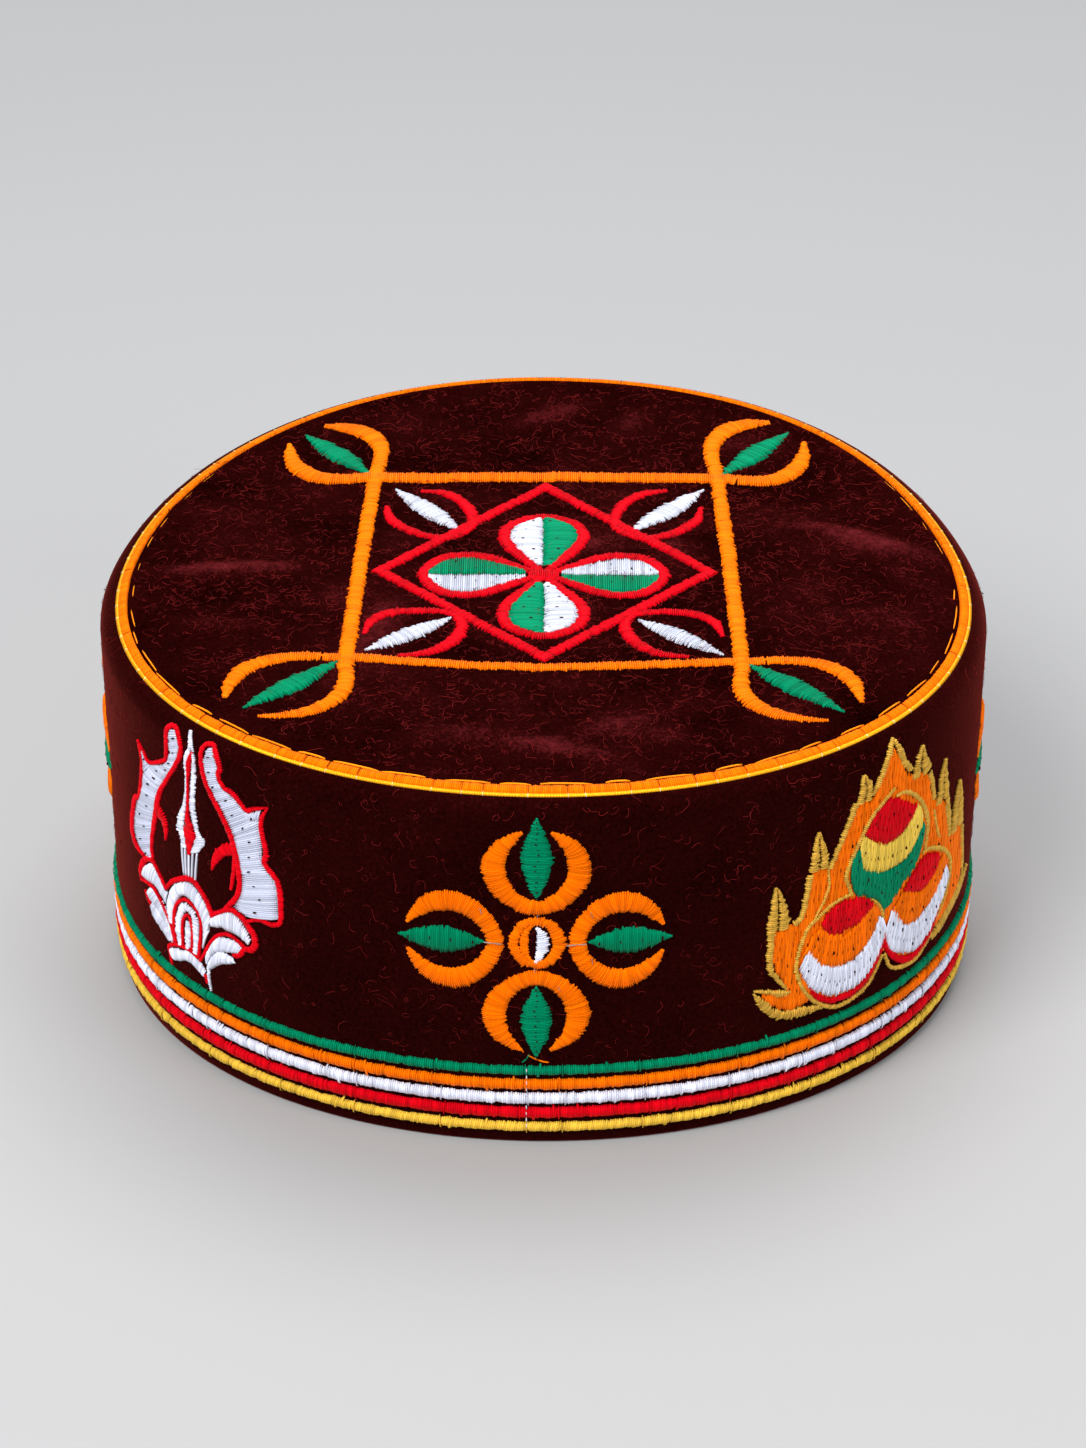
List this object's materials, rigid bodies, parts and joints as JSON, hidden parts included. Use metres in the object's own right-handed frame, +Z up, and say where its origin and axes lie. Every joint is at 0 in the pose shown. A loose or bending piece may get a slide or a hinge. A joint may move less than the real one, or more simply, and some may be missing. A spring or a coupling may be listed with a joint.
{
  "type": "topi cap",
  "caption": "Stiff round velvet topi with upright side band, flat crown, satin stripes at the hem, a satin ring at the crown seam and raised satin embroidery.",
  "frame": {"origin": "middle of the cap at the hem, on the surface that it rests on", "axes": "+Z up through the crown, -Y to the front, +X to the wearer's left"},
  "size_m": [0.187, 0.187, 0.0847],
  "materials": {
    "velvet": "dark maroon velvet with a soft sheen",
    "orange_thread": "glossy orange embroidery thread",
    "green_thread": "glossy green embroidery thread",
    "white_thread": "glossy cool white embroidery thread",
    "red_thread": "glossy red embroidery thread",
    "gold_thread": "golden yellow embroidery thread",
    "gold_cord": "metallic gold cord"
  },
  "bodies": {
    "root": {"side_band": "velvet", "crown_top": "velvet", "crown_satin_ring": "orange_thread", "crown_gold_cord": "gold_cord", "stripe_green": "green_thread", "stripe_orange": "orange_thread", "stripe_white": "white_thread", "stripe_red": "red_thread", "stripe_gold": "gold_thread", "crown_frame": "orange_thread", "crown_diamond": "red_thread", "petal_outlines": "red_thread", "corner_leaf_front_left": "green_thread", "corner_leaf_front_right": "green_thread", "corner_leaf_back_right": "green_thread", "corner_leaf_back_left": "green_thread", "inner_leaf_front_left": "white_thread", "inner_leaf_front_right": "white_thread", "inner_leaf_back_right": "white_thread", "inner_leaf_back_left": "white_thread", "petal_back_white": "white_thread", "petal_back_green": "green_thread", "petal_left_white": "white_thread", "petal_left_green": "green_thread", "petal_front_white": "white_thread", "petal_front_green": "green_thread", "petal_right_white": "white_thread", "petal_right_green": "green_thread", "cross_front": "orange_thread", "cross_front_leaf_right": "green_thread", "cross_front_leaf_up": "green_thread", "cross_front_leaf_left": "green_thread", "cross_front_leaf_down": "green_thread", "cross_right": "orange_thread", "cross_right_leaf_right": "green_thread", "cross_right_leaf_up": "green_thread", "cross_right_leaf_left": "green_thread", "cross_right_leaf_down": "green_thread", "cross_back": "orange_thread", "cross_back_leaf_right": "green_thread", "cross_back_leaf_up": "green_thread", "cross_back_leaf_left": "green_thread", "cross_back_leaf_down": "green_thread", "cross_left": "orange_thread", "cross_left_leaf_right": "green_thread", "cross_left_leaf_up": "green_thread", "cross_left_leaf_left": "green_thread", "cross_left_leaf_down": "green_thread", "lotus_front_left": "white_thread", "lotus_back_right": "white_thread", "flame_front_right": "orange_thread", "jewel_front_right_top": "green_thread", "jewel_front_right_left": "red_thread", "jewel_front_right_right": "red_thread", "flame_back_left": "orange_thread", "jewel_back_left_top": "green_thread", "jewel_back_left_left": "red_thread", "jewel_back_left_right": "red_thread"}
  },
  "joints": []
}
